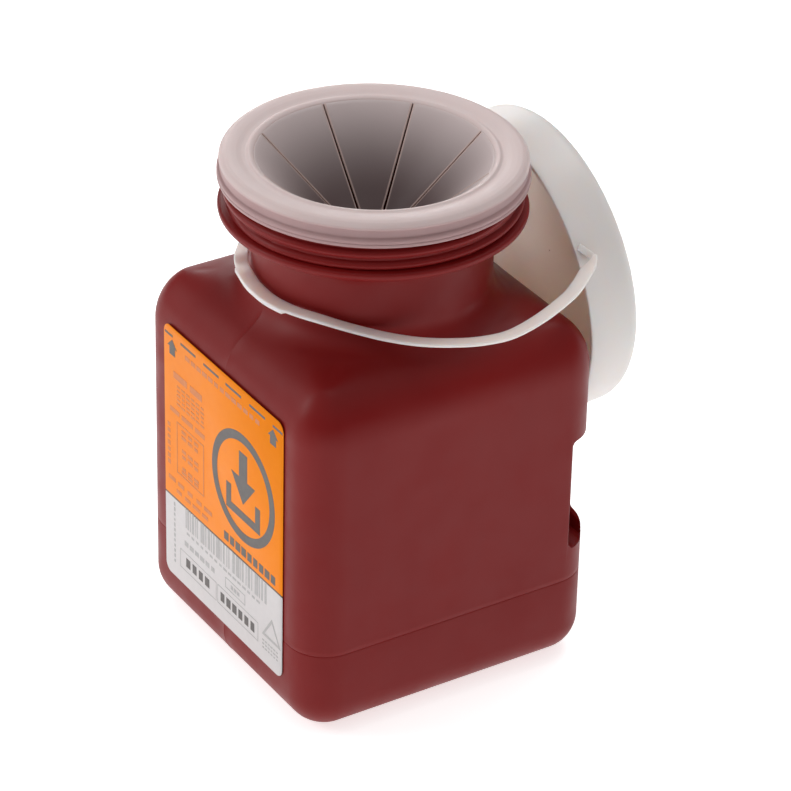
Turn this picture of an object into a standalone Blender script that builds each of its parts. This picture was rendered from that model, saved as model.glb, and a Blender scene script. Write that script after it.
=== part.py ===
"""Small square sharps container: a blow-moulded bottle with a flexible flap funnel, and a screw cap that hangs
behind the neck on its carrying strap.

Metres, +Z up. The origin is the centre of the base, on the standing plane. The label is on -Y and the cap leans
against the back, +Y."""

import math

import bmesh
import bpy
from mathutils import Matrix, Vector

MM = 0.001
GAP = 0.3 * MM  # left between pieces that touch

# Bottle: a square body with a round neck
HALF_WIDTH = 57.15 * MM
CORNER_RADIUS = 14.0 * MM
BASE_EDGE_RADIUS = 13.5 * MM
WALL = 1.7 * MM
SIDE_TOP = 112.5 * MM  # the straight sides end here
SHOULDER_RADIUS = 21.0 * MM
NECK_RADIUS = 40.5 * MM
NECK_FILLET = 8.0 * MM
FINISH_RADIUS = 48.6 * MM  # the plain cylinder that carries the thread
MOUTH_RADIUS = 46.6 * MM
MOUTH_TOP = 181.6 * MM
THREAD_PITCH = 4.2 * MM
THREAD_HEIGHT = 1.5 * MM
THREAD_START = 167.2 * MM
THREAD_PHASE = math.radians(247.3)  # direction in which the thread starts

# Notch for a wall bracket, in each back corner
NOTCH_DEPTH = 11.4 * MM
NOTCH_LENGTH = 16.4 * MM
NOTCH_LOW = 50.4 * MM
NOTCH_HIGH = 88.2 * MM
POCKET_LOW = 44.7 * MM
LIP_THICKNESS = 1.7 * MM

# Label
LABEL_WIDTH = 79.4 * MM
LABEL_LOW = 17.2 * MM
LABEL_HIGH = 117.0 * MM
LABEL_CORNER = 3.5 * MM
LABEL_THICKNESS = 0.2 * MM

# Funnel: a snap-on ring with eight flaps, moulded as one
SKIRT_RADIUS = 51.9 * MM
SKIRT_LOW = 175.9 * MM
FUNNEL_TOP = 184.7 * MM
FUNNEL_INNER = 39.2 * MM
FUNNEL_INNER_Z = 183.2 * MM
FLAP_COUNT = 8
FLAP_PHASE = math.radians(39.0)  # direction of the first slit
FLAP_DROP = 0.93  # how far a flap goes down for each unit inwards
FLAP_TIP_RADIUS = 9.0 * MM
FLAP_THICKNESS = 1.0 * MM
SLIT_AT_ROOT = 0.8 * MM
SLIT_AT_TIP = 1.4 * MM

# Cap, hanging with its open side towards the bottle
CAP_RADIUS = 53.75 * MM
CAP_HEIGHT = 20.2 * MM
CAP_WALL = 2.0 * MM
CAP_EDGE_RADIUS = 5.0 * MM
CAP_CENTRE = Vector((-5.3, 57.7, 122.2)) * MM  # the centre of the open rim
CAP_TILT = math.radians(5.4)
CAP_TURN = math.radians(0.7)

# Carrying strap: a flat band round the front of the neck, folded at its ends into the cap's two links
STRAP_HEIGHT = 1.2 * MM  # the band lies flat
STRAP_WIDTH = 4.7 * MM
STRAP_END_HEIGHT = 3.0 * MM  # where it folds on edge to meet the links
STRAP_END_WIDTH = 1.5 * MM
STRAP_END_SHARE = 0.07
GRIP_GROWTH = 0.6 * MM  # how far the grip stands proud of the band, outwards and downwards
GRIP_SPAN = (0.457, 0.607)  # the thicker middle, as fractions of the strap's route
STRAP_ROUTE = [  # millimetres, its lower outer edge, from the right end round the front to the left end
    (44.5, 60.2, 147.2), (47.0, 58.2, 146.8), (50.1, 54.1, 146.0), (53.5, 49.3, 145.1), (57.3, 42.4, 144.0),
    (62.0, 28.5, 142.2), (63.6, 15.2, 140.4), (61.4, 4.2, 139.8), (56.9, -5.3, 139.6), (50.8, -13.7, 139.4),
    (43.3, -21.3, 139.6), (35.8, -28.9, 140.9), (27.9, -36.7, 142.75), (17.4, -42.7, 143.1), (7.8, -45.3, 143.1),
    (0.0, -46.0, 143.6), (-5.1, -45.7, 143.8), (-10.8, -44.7, 144.4), (-17.1, -42.9, 144.3),
    (-22.8, -39.9, 145.0), (-33.2, -31.8, 143.3), (-40.0, -25.6, 144.0), (-47.2, -15.2, 143.2),
    (-53.2, -3.0, 142.8), (-58.2, 10.0, 142.8), (-62.0, 24.0, 143.4), (-63.9, 38.0, 144.6), (-62.8, 49.0, 145.8),
    (-58.6, 56.6, 146.8), (-54.8, 60.0, 147.2)]
LINK_START = (29.0, 4.7)  # on the cap's side: degrees up from its horizontal, and millimetres from its rim
LINK_END = (33.6, 1.2)
LINK_WIDTH = 2.3 * MM
LINK_THICKNESS = 1.2 * MM

RING_POINTS = 48


def material(name, colour, roughness, alpha=1.0):
    made = bpy.data.materials.new(name)
    made.use_nodes = True
    shader = made.node_tree.nodes["Principled BSDF"]
    shader.inputs["Base Color"].default_value = (*colour, 1.0)
    shader.inputs["Roughness"].default_value = roughness
    shader.inputs["Metallic"].default_value = 0.0
    shader.inputs["Alpha"].default_value = alpha
    return made


def collection(name):
    made = bpy.data.collections.new(name)
    bpy.context.scene.collection.children.link(made)
    return made


def add_object(name, mesh, where, finish=None):
    made = bpy.data.objects.new(name, mesh)
    where.objects.link(made)
    if finish:
        made.data.materials.append(finish)
    return made


def loft(name, rings, closed_ring=False):
    """A mesh through rings of equal point counts. Its ends are capped, or joined when closed_ring is set."""
    bm = bmesh.new()
    rows = [[bm.verts.new(point) for point in ring] for ring in rings]
    count = len(rows[0])
    pairs = list(zip(rows, rows[1:]))
    if closed_ring:
        pairs.append((rows[-1], rows[0]))
    for lower, upper in pairs:
        for i in range(count):
            j = (i + 1) % count
            bm.faces.new((lower[i], lower[j], upper[j], upper[i]))
    if not closed_ring:
        bm.faces.new(list(reversed(rows[0])))
        bm.faces.new(rows[-1])
    bmesh.ops.recalc_face_normals(bm, faces=bm.faces)
    mesh = bpy.data.meshes.new(name)
    bm.to_mesh(mesh)
    bm.free()
    return mesh


def smooth_round(obj, angle=35.0):
    obj.data.shade_smooth()
    obj.data.set_sharp_from_angle(angle=math.radians(angle))


def rounded_square(half, corner, z):
    """RING_POINTS points round a square with rounded corners, starting in the middle of the +X side."""
    corner = max(corner, 0.8 * MM)
    flat = half - corner
    points = []
    for quarter in range(4):
        turn = Matrix.Rotation(quarter * math.pi / 2, 3, "Z")
        side = [(half, flat * step / 3) for step in range(3)]
        for step in range(7):
            angle = math.radians(15 * step)
            side.append((flat + corner * math.cos(angle), flat + corner * math.sin(angle)))
        side += [(flat * step / 3, half) for step in (2, 1)]
        points += [turn @ Vector((x, y, z)) for x, y in side]
    return points


def circle(radius, z):
    steps = [2 * math.pi * i / RING_POINTS for i in range(RING_POINTS)]
    return [Vector((radius * math.cos(a), radius * math.sin(a), z)) for a in steps]


def smoothstep(value, low, high):
    t = min(max((value - low) / (high - low), 0.0), 1.0)
    return t * t * (3 - 2 * t)


def depth_inside(x, y, half, corner):
    """How far a point is inside a rounded square. Deep inside, the level lines round off towards the neck."""

    def plain(radius):
        over_x = abs(x) - (half - radius)
        over_y = abs(y) - (half - radius)
        if over_x > 0 and over_y > 0:
            return radius - math.hypot(over_x, over_y)
        return radius - max(over_x, over_y)

    near = plain(corner)
    blend = smoothstep(near, 8 * MM, 20 * MM)
    return near * (1 - blend) + plain(30 * MM) * blend


def shoulder_rings(half, corner, arc, neck, fillet, count):
    """Rings from the top of the straight sides, over the rounded shoulder, to the foot of the neck."""
    foot = rounded_square(half, corner, SIDE_TOP)
    rings = []
    for k in range(count + 1):
        share = (1 - math.cos(math.pi * k / count)) / 2
        ring = []
        for i, start in enumerate(foot):
            start_angle = math.atan2(start.y, start.x)
            end_angle = math.remainder(2 * math.pi * i / RING_POINTS, 2 * math.pi)
            swing = math.remainder(end_angle - start_angle, 2 * math.pi)
            angle = start_angle + swing * share
            radius = math.hypot(start.x, start.y) * (1 - share) + neck * share
            x, y = radius * math.cos(angle), radius * math.sin(angle)
            deep = max(depth_inside(x, y, half, corner), 0.0) if k else 0.0
            z = SIDE_TOP + math.sqrt(arc**2 - (arc - min(deep, arc)) ** 2) + 0.1 * max(0.0, deep - 18 * MM)
            if radius < neck + fillet:
                reach = neck + fillet - radius
                z += fillet - math.sqrt(max(fillet**2 - reach**2, 0.0))
            ring.append(Vector((x, y, z)))
        rings.append(ring)
    return rings


def side_rings(half, corner, edge, floor):
    """Rings from the flat floor round the bottom edge to the foot of the shoulder."""
    rings = []
    for step in range(6):
        angle = math.radians(18 * step)
        inset = edge * (1 - math.sin(angle))
        rings.append(rounded_square(half - inset, corner - inset, floor + edge * (1 - math.cos(angle))))
    return rings


def thread_ridge(angle, z, start, pitch, turns):
    """Height, from 0 to 1, of a helical ridge that rises to the right, at this angle and height."""
    best = 0.0
    for turn in range(math.ceil(turns) + 1):
        along = angle / (2 * math.pi) + turn
        if along > turns:
            continue
        ends = smoothstep(along, 0.0, 0.12) * (1 - smoothstep(along, turns - 0.12, turns))
        away = abs(z - start - pitch * along) / (pitch * 0.36)
        best = max(best, ends * max(0.0, 1 - away**2))
    return best


def finish_rings(low, high, count, radius, start, turns, inwards=False):
    """Rings of the threaded cylinder between two heights."""
    rings = []
    for k in range(count + 1):
        z = low + (high - low) * k / count
        ring = []
        for i in range(RING_POINTS):
            angle = 2 * math.pi * i / RING_POINTS
            ridge = THREAD_HEIGHT * thread_ridge(angle - THREAD_PHASE, z, start, THREAD_PITCH, turns)
            r = radius - ridge if inwards else radius + ridge
            ring.append(Vector((r * math.cos(angle), r * math.sin(angle), z)))
        rings.append(ring)
    return rings


def bottle_body(parts, cutters, finish):
    rings = side_rings(HALF_WIDTH, CORNER_RADIUS, BASE_EDGE_RADIUS, 0.0)
    rings += shoulder_rings(HALF_WIDTH, CORNER_RADIUS, SHOULDER_RADIUS, NECK_RADIUS, NECK_FILLET, 10)
    # Neck, and the flange under the thread
    bead = [(40.5, 156.0), (41.2, 158.6), (43.0, 161.2), (46.0, 163.0), (50.4, 163.6), (51.4, 164.0), (51.7, 164.8),
            (51.6, 165.8), (51.0, 166.5), (49.4, 166.7)]
    rings += [circle(r * MM, z * MM) for r, z in bead]
    rings += finish_rings(167.0 * MM, 174.8 * MM, 13, FINISH_RADIUS, THREAD_START, 1.45)
    rings += [circle(FINISH_RADIUS, MOUTH_TOP - 0.6 * MM), circle(FINISH_RADIUS - 0.6 * MM, MOUTH_TOP)]
    outer = add_object("bottle_body", loft("bottle_body", rings), parts, finish)

    inner_half = HALF_WIDTH - WALL
    inner_neck = NECK_RADIUS - WALL
    rings = side_rings(inner_half, CORNER_RADIUS - WALL, BASE_EDGE_RADIUS - WALL, WALL)
    rings += shoulder_rings(inner_half, CORNER_RADIUS - WALL, SHOULDER_RADIUS - WALL, inner_neck,
                            NECK_FILLET + WALL, 8)
    throat = [(38.8, 156.4), (39.6, 159.4), (41.5, 162.4), (44.0, 164.6), (45.8, 166.2), (46.6, 168.2)]
    rings += [circle(r * MM, z * MM) for r, z in throat]
    rings += [circle(MOUTH_RADIUS, MOUTH_TOP + 4 * MM)]
    hollow = add_object("bottle_hollow", loft("bottle_hollow", rings), cutters)

    for side, label in ((1, "right"), (-1, "left")):
        for grown, target in ((0.0, outer), (WALL, hollow)):
            cutter = notch_cutter(f"notch_{label}_{'wall' if grown else 'cut'}", side, grown, cutters)
            cut = target.modifiers.new(cutter.name, "BOOLEAN")
            cut.operation = "DIFFERENCE"
            cut.object = cutter
    cut = outer.modifiers.new("hollow", "BOOLEAN")
    cut.operation = "DIFFERENCE"
    cut.object = hollow
    smooth_round(outer)
    return outer


def notch_cutter(name, side, grown, cutters):
    """The notch in a back corner, as an outline in Y and Z drawn out along X: deep above, with a pocket behind a lip
    below. grown widens it for the wall that goes round it."""
    back = HALF_WIDTH + 6 * MM
    front = HALF_WIDTH - NOTCH_DEPTH - grown
    lip = HALF_WIDTH - LIP_THICKNESS + (8 * MM if grown else 0.0)
    low, high = POCKET_LOW - grown, NOTCH_HIGH + grown
    lip_top = NOTCH_LOW
    outline = [(front, low + 1.5 * MM), (front + 1.2 * MM, low), (lip - 0.8 * MM, low), (lip, low + 1.2 * MM),
               (lip, lip_top - 3 * MM)]
    outline += [(lip + 1.6 * MM, lip_top - 0.6 * MM), (back, lip_top + 0.4 * MM)]
    outline += [(back, high + 0.6 * MM), (HALF_WIDTH, high), (front + 2.2 * MM, high - 0.2 * MM),
                (front + 0.7 * MM, high - 0.9 * MM), (front, high - 2.6 * MM)]
    if grown:
        outline = [(front, low), (back, low), (back, high), (front + 1 * MM, high), (front, high - 2 * MM)]
    near = HALF_WIDTH - NOTCH_LENGTH - grown
    far = HALF_WIDTH + 6 * MM
    bm = bmesh.new()
    ends = [[bm.verts.new((x, y, z)) for y, z in outline] for x in (near, far)]
    count = len(outline)
    for i in range(count):
        j = (i + 1) % count
        bm.faces.new((ends[0][i], ends[0][j], ends[1][j], ends[1][i]))
    bm.faces.new(list(reversed(ends[0])))
    bm.faces.new(ends[1])
    bmesh.ops.scale(bm, vec=(side, 1, 1), verts=bm.verts)
    bmesh.ops.recalc_face_normals(bm, faces=bm.faces)
    mesh = bpy.data.meshes.new(name)
    bm.to_mesh(mesh)
    bm.free()
    return add_object(name, mesh, cutters)


def label(parts, finish):
    """A sheet with rounded corners, as a flat outline drawn out by its thickness."""
    curve = bpy.data.curves.new("label", "CURVE")
    curve.dimensions = "2D"
    curve.fill_mode = "BOTH"
    curve.extrude = LABEL_THICKNESS / 2
    spline = curve.splines.new("POLY")
    half_w, half_h = LABEL_WIDTH / 2, (LABEL_HIGH - LABEL_LOW) / 2
    points = []
    for quarter in range(4):
        centre_x = (half_w - LABEL_CORNER) * (1, -1, -1, 1)[quarter]
        centre_y = (half_h - LABEL_CORNER) * (1, 1, -1, -1)[quarter]
        for step in range(6):
            angle = math.radians(90 * quarter + 18 * step)
            points.append((centre_x + LABEL_CORNER * math.cos(angle), centre_y + LABEL_CORNER * math.sin(angle)))
    spline.points.add(len(points) - 1)
    for point, (x, y) in zip(spline.points, points):
        point.co = (x, y, 0, 1)
    spline.use_cyclic_u = True
    made = add_object("label", curve, parts, finish)
    made.rotation_euler = (math.pi / 2, 0, 0)
    made.location = (0, -HALF_WIDTH - GAP - LABEL_THICKNESS / 2, (LABEL_LOW + LABEL_HIGH) / 2)
    return made


def turned(name, profile, parts, finish):
    """A ring turned about Z from a closed profile of (radius, height) points in millimetres."""
    mesh = bpy.data.meshes.new(name)
    points = [(r * MM, 0, z * MM) for r, z in profile]
    edges = [(i, (i + 1) % len(points)) for i in range(len(points))]
    mesh.from_pydata(points, edges, [])
    made = add_object(name, mesh, parts, finish)
    screw = made.modifiers.new("turn", "SCREW")
    screw.axis = "Z"
    screw.steps = screw.render_steps = RING_POINTS
    screw.use_merge_vertices = True
    screw.merge_threshold = 0.00001
    screw.use_smooth_shade = True
    return made


def funnel_ring(parts, finish):
    profile = [
        # Over the top, from the flap roots out to the skirt
        (39.35, 183.1), (40.2, 184.0), (41.3, 184.3), (42.2, 183.8), (45.4, 184.4), (48.8, 184.7), (50.5, 184.1),
        (51.3, 182.9), (51.3, 182.2), (50.9, 181.8), (50.9, 179.4), (51.6, 179.0), (51.9, 178.4), (51.9, 176.4),
        (51.5, 175.9), (49.6, 175.9),
        # Back up inside the skirt, over the bottle's mouth and down the plug that seals inside it
        (49.1, 176.4), (49.1, 182.0), (46.2, 182.0), (46.2, 177.2), (45.6, 176.6), (44.9, 177.2), (44.6, 182.0),
        (43.4, 181.6), (41.9, 181.9)]
    return turned("funnel_ring", profile, parts, finish)


def funnel_flap(number, parts, finish):
    """One flap: a sector of the cone between two slits. Its hinge is the tangent at the middle of its root."""
    middle = FLAP_PHASE + math.tau * (number + 0.5) / FLAP_COUNT
    root = FUNNEL_INNER - GAP
    rows, columns = 4, 6
    grid = []
    for row in range(rows + 1):
        share = row / rows
        radius = root + (FLAP_TIP_RADIUS - root) * share
        slit = SLIT_AT_ROOT + (SLIT_AT_TIP - SLIT_AT_ROOT) * share
        reach = math.pi / FLAP_COUNT - slit / 2 / radius
        z = FUNNEL_INNER_Z - (FUNNEL_INNER - radius) * FLAP_DROP
        angles = [reach * (2 * column / columns - 1) for column in range(columns + 1)]
        grid.append([Vector((radius * math.cos(a), radius * math.sin(a), z)) for a in angles])
    hinge = Vector((root, 0, FUNNEL_INNER_Z - (FUNNEL_INNER - root) * FLAP_DROP))
    bm = bmesh.new()
    verts = [[bm.verts.new(point - hinge) for point in line] for line in grid]
    for upper, lower in zip(verts, verts[1:]):
        for column in range(columns):
            bm.faces.new((upper[column], lower[column], lower[column + 1], upper[column + 1]))
    bmesh.ops.recalc_face_normals(bm, faces=bm.faces)
    if sum((face.normal.z for face in bm.faces)) < 0:
        bmesh.ops.reverse_faces(bm, faces=bm.faces)
    mesh = bpy.data.meshes.new(f"funnel_flap_{number + 1}")
    bm.to_mesh(mesh)
    bm.free()
    made = add_object(mesh.name, mesh, parts, finish)
    wall = made.modifiers.new("thickness", "SOLIDIFY")
    wall.thickness = FLAP_THICKNESS
    wall.offset = -1
    made.location = Matrix.Rotation(middle, 3, "Z") @ hinge
    made.rotation_euler = (0, 0, middle)
    mesh.shade_smooth()
    mesh.set_sharp_from_angle(angle=math.radians(35))
    return made


def cap(parts, finish):
    """A cup lofted on its own Z, open side down, then laid over so that it opens towards the bottle."""
    top = CAP_HEIGHT
    rings = [circle(CAP_RADIUS, 0.4 * MM), circle(CAP_RADIUS, top - CAP_EDGE_RADIUS)]
    for step in range(1, 6):
        angle = math.radians(18 * step)
        rings.append(circle(CAP_RADIUS - CAP_EDGE_RADIUS * (1 - math.cos(angle)),
                            top - CAP_EDGE_RADIUS * (1 - math.sin(angle))))
    outside = [circle(CAP_RADIUS - 0.4 * MM, 0.0)] + rings
    inner = CAP_RADIUS - CAP_WALL
    inside = [circle(inner + 0.3 * MM, -1.0 * MM), circle(inner, 0.8 * MM)]
    inside += finish_rings(2.0 * MM, 14.6 * MM, 18, inner, 4.0 * MM, 1.7, inwards=True)
    inside += [circle(inner, top - CAP_WALL - 2 * MM), circle(inner - 2 * MM, top - CAP_WALL)]
    shell = add_object("cap", loft("cap", outside), parts, finish)
    hollow = add_object("cap_hollow", loft("cap_hollow", inside), bpy.data.collections["cutters"])
    cut = shell.modifiers.new("hollow", "BOOLEAN")
    cut.operation = "DIFFERENCE"
    cut.object = hollow
    # Local +Z, the closed end, points to +Y and a little up
    lay = Matrix.Rotation(-CAP_TURN, 4, "Z") @ Matrix.Rotation(CAP_TILT - math.pi / 2, 4, "X")
    place = Matrix.Translation(CAP_CENTRE) @ lay
    for piece in (shell, hollow):
        piece.matrix_world = place
    smooth_round(shell)
    return place


def spline_points(route, count):
    """Points at equal parameter steps on a Catmull-Rom curve through the route's points."""
    path = [2 * route[0] - route[1], *route, 2 * route[-1] - route[-2]]
    spans = len(route) - 1
    points = []
    for k in range(count + 1):
        along = min(k * spans / count, spans - 1e-9)
        i, t = int(along), along - int(along)
        a, b, c, d = path[i:i + 4]
        points.append(0.5 * (2 * b + (c - a) * t + (2 * a - 5 * b + 4 * c - d) * t**2
                             + (3 * b - a - 3 * c + d) * t**3))
    return points


def chamfered(width, height):
    """The corners of a rectangle with its edges cut off, as (across, up) from its centre."""
    cut = 0.3 * MM
    half_w, half_h = width / 2, height / 2
    return [(half_w, cut - half_h), (half_w, half_h - cut), (half_w - cut, half_h), (cut - half_w, half_h),
            (-half_w, half_h - cut), (-half_w, cut - half_h), (cut - half_w, -half_h), (half_w - cut, -half_h)]


def strap(parts, finish):
    """The band is laid from its lower outer edge, and the grip grows from there outwards and downwards."""
    path = spline_points([Vector(point) * MM for point in STRAP_ROUTE], 72)
    rings = []
    for k, point in enumerate(path):
        share = k / (len(path) - 1)
        ahead = path[min(k + 1, len(path) - 1)] - path[max(k - 1, 0)]
        outwards = Vector((-ahead.y, ahead.x, 0)).normalized()
        if outwards.dot(Vector((point.x, point.y, 0))) < 0:
            outwards = -outwards
        low, high = GRIP_SPAN
        thicker = smoothstep(share, low - 0.01, low) * (1 - smoothstep(share, high, high + 0.01))
        growth = GRIP_GROWTH * thicker
        flat = smoothstep(share, 0, STRAP_END_SHARE) * (1 - smoothstep(share, 1 - STRAP_END_SHARE, 1))
        height = STRAP_END_HEIGHT + (STRAP_HEIGHT - STRAP_END_HEIGHT) * flat + growth
        width = STRAP_END_WIDTH + (STRAP_WIDTH - STRAP_END_WIDTH) * flat + growth
        rings.append([point + outwards * (a - width / 2 + growth) + Vector((0, 0, b + height / 2 - growth))
                      for a, b in chamfered(width, height)])
    made = add_object("handle_strap", loft("handle_strap", rings), parts, finish)
    smooth_round(made)
    return made


def strap_link(name, side, cap_place, parts, finish):
    """A short tab that lies on the cap's side, from the fold at the strap's end to the cap's rim."""
    steps = 4
    rings = []
    centre = CAP_RADIUS + GAP + LINK_THICKNESS / 2
    along_angle = math.radians(LINK_END[0] - LINK_START[0]) * centre
    along_rim = (LINK_END[1] - LINK_START[1]) * MM
    length = math.hypot(along_angle, along_rim)
    for k in range(steps + 1):
        share = k / steps
        angle = math.radians(LINK_START[0] + (LINK_END[0] - LINK_START[0]) * share)
        from_rim = (LINK_START[1] + (LINK_END[1] - LINK_START[1]) * share) * MM
        out = Vector((side * math.cos(angle), -math.sin(angle), 0))
        round_rim = Vector((-side * math.sin(angle), -math.cos(angle), 0))
        across = (Vector((0, 0, 1)) * along_angle - round_rim * along_rim) / length
        middle = out * centre + Vector((0, 0, from_rim))
        ring = [middle + across * a + out * b for a, b in chamfered(LINK_WIDTH, LINK_THICKNESS)]
        rings.append([cap_place @ point for point in ring])
    made = add_object(name, loft(name, rings), parts, finish)
    smooth_round(made)
    return made


for old in list(bpy.data.objects):
    bpy.data.objects.remove(old, do_unlink=True)
parts_collection = collection("sharps_container")
cutter_collection = collection("cutters")

red = material("red_polyethylene", (0.125, 0.016, 0.014), 0.42)
label_paper = material("label_paper", (0.93, 0.30, 0.055), 0.45)
natural = material("natural_polyethylene", (0.56, 0.49, 0.47), 0.38, 0.85)
white = material("white_polypropylene", (0.66, 0.61, 0.57), 0.40)

bottle_body(parts_collection, cutter_collection, red)
label(parts_collection, label_paper)
funnel_ring(parts_collection, natural)
for flap_number in range(FLAP_COUNT):
    funnel_flap(flap_number, parts_collection, natural)
cap_frame = cap(parts_collection, white)
strap(parts_collection, white)
strap_link("strap_link_right", 1, cap_frame, parts_collection, white)
strap_link("strap_link_left", -1, cap_frame, parts_collection, white)
for cutter in cutter_collection.objects:
    cutter.hide_render = True
    cutter.display_type = "WIRE"
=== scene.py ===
"""A small square sharps container: a red blow-moulded bottle, a milky funnel with eight flaps in its mouth,
and a white screw cap that hangs behind the neck on its carrying strap."""

import math

import bmesh
import bpy
from mathutils import Matrix, Vector


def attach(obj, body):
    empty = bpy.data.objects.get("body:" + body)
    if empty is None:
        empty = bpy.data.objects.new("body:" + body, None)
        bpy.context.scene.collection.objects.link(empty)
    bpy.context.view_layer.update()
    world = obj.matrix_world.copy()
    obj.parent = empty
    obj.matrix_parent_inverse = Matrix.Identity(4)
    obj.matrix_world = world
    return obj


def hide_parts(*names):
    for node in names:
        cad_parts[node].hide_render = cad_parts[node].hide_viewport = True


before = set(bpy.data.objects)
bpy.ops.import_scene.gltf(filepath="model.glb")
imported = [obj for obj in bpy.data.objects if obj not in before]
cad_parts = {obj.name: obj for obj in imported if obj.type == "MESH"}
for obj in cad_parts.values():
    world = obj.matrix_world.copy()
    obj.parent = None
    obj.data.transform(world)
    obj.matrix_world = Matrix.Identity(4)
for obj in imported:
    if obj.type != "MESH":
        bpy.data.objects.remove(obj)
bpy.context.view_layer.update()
MM = 0.001

# ---------------------------------------------------------------------------------------------- camera
# A long lens a little above the bench, looking down on the corner between the label and a plain side.

CAMERA_LENS = 175.46
CAMERA_PLACE = (0.95337, -0.60183, 0.76497)
CAMERA_TURN, CAMERA_RISE, CAMERA_ROLL = map(math.radians, (57.285, 30.873, 1.397))

camera_data = bpy.data.cameras.new("camera")
camera_data.lens = CAMERA_LENS
camera_data.sensor_width = 36.0
camera_data.clip_start = 0.05
camera = bpy.data.objects.new("camera", camera_data)
bpy.context.scene.collection.objects.link(camera)
back = Vector((math.sin(CAMERA_TURN) * math.cos(CAMERA_RISE), -math.cos(CAMERA_TURN) * math.cos(CAMERA_RISE),
               math.sin(CAMERA_RISE)))
level = Vector((math.cos(CAMERA_TURN), math.sin(CAMERA_TURN), 0.0))
upright = back.cross(level)
right = level * math.cos(CAMERA_ROLL) + upright * math.sin(CAMERA_ROLL)
up = upright * math.cos(CAMERA_ROLL) - level * math.sin(CAMERA_ROLL)
facing = Matrix((right, up, back)).transposed().to_4x4()
camera.matrix_world = Matrix.Translation(CAMERA_PLACE) @ facing
bpy.context.scene.camera = camera

# ------------------------------------------------------------------------------------ studio and bench
# A white glowing table under broad soft lamps, as small goods are lit: it leaves hardly any shadow.

scene = bpy.context.scene
scene.view_settings.view_transform = "Standard"
scene.view_settings.look = "None"


def area_lamp(name, place, size, power):
    data = bpy.data.lights.new(name, "AREA")
    data.shape = "DISK"
    data.size = size
    data.energy = power
    lamp = bpy.data.objects.new(name, data)
    lamp.location = place
    lamp.rotation_euler = (LAMP_AIM - Vector(place)).to_track_quat("-Z", "Y").to_euler()
    scene.collection.objects.link(lamp)


LAMP_AIM = Vector((0.0, 0.0, 0.09))
area_lamp("front_left_lamp", (-0.75, -1.15, 0.75), 0.8, 6.6)
area_lamp("top_lamp", (-0.2, 0.5, 1.5), 0.9, 6.0)
area_lamp("back_left_lamp", (-1.25, 0.55, 0.55), 0.6, 3.0)

# Grey walls, and a lighter ceiling
HORIZON_LIGHT, CEILING_LIGHT = 0.06, 0.56
world = bpy.data.worlds.new("studio")
world.use_nodes = True
nodes, links = world.node_tree.nodes, world.node_tree.links
height = nodes.new("ShaderNodeSeparateXYZ")
links.new(nodes.new("ShaderNodeTexCoord").outputs["Generated"], height.inputs["Vector"])
walls = nodes.new("ShaderNodeMapRange")
walls.interpolation_type = "SMOOTHSTEP"
walls.inputs["From Min"].default_value = 0.15
walls.inputs["From Max"].default_value = 0.75
walls.inputs["To Min"].default_value = HORIZON_LIGHT
walls.inputs["To Max"].default_value = CEILING_LIGHT
links.new(height.outputs["Z"], walls.inputs["Value"])
links.new(walls.outputs["Result"], nodes["Background"].inputs["Strength"])
nodes["Background"].inputs["Color"].default_value = (1.0, 1.0, 1.0, 1.0)
scene.world = world


def principled(name):
    """A material with its nodes, its links, its Principled shader, and a socket for object coordinates."""
    made = bpy.data.materials.new(name)
    made.use_nodes = True
    nodes, links = made.node_tree.nodes, made.node_tree.links
    place = nodes.new("ShaderNodeTexCoord").outputs["Object"]
    return made, nodes, links, nodes["Principled BSDF"], place


def noise(nodes, links, place, scale, detail=3.0, stretch=(1, 1, 1)):
    mapping = nodes.new("ShaderNodeMapping")
    mapping.inputs["Scale"].default_value = stretch
    links.new(place, mapping.inputs["Vector"])
    texture = nodes.new("ShaderNodeTexNoise")
    texture.inputs["Scale"].default_value = scale
    texture.inputs["Detail"].default_value = detail
    links.new(mapping.outputs["Vector"], texture.inputs["Vector"])
    return texture.outputs["Fac"]


def ranged(nodes, links, value, low, high, from_low=0.0, from_high=1.0):
    node = nodes.new("ShaderNodeMapRange")
    for key, number in (("From Min", from_low), ("From Max", from_high), ("To Min", low), ("To Max", high)):
        node.inputs[key].default_value = number
    links.new(value, node.inputs["Value"])
    return node.outputs["Result"]


def blended(nodes, links, share, first, second):
    """A colour between two, each a triple or a socket."""
    node = nodes.new("ShaderNodeMix")
    node.data_type = "RGBA"
    links.new(share, node.inputs["Factor"])
    for socket, value in ((node.inputs[6], first), (node.inputs[7], second)):
        if isinstance(value, tuple):
            socket.default_value = (*value, 1.0)
        else:
            links.new(value, socket)
    return node.outputs[2]


def calculated(nodes, links, operation, first, second=0.0, third=0.0):
    node = nodes.new("ShaderNodeMath")
    node.operation = operation
    for socket, value in zip(node.inputs, (first, second, third)):
        if isinstance(value, (int, float)):
            socket.default_value = value
        else:
            links.new(value, socket)
    return node.outputs[0]


def bump(nodes, links, height, distance, after=None):
    """The depth of the bump is a number or a socket, and it may follow another bump."""
    node = nodes.new("ShaderNodeBump")
    node.inputs["Strength"].default_value = 1.0
    if isinstance(distance, float):
        node.inputs["Distance"].default_value = distance
    else:
        links.new(distance, node.inputs["Distance"])
    links.new(height, node.inputs["Height"])
    if after:
        links.new(after, node.inputs["Normal"])
    return node.outputs["Normal"]


def add_sockets(tree, way, *sockets):
    """Each socket is its name, its kind and, where it has one, its usual value."""
    for name, kind, *usual in sockets:
        socket = tree.interface.new_socket(name=name, in_out=way, socket_type=f"NodeSocket{kind}")
        if usual:
            socket.default_value = usual[0]


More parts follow.
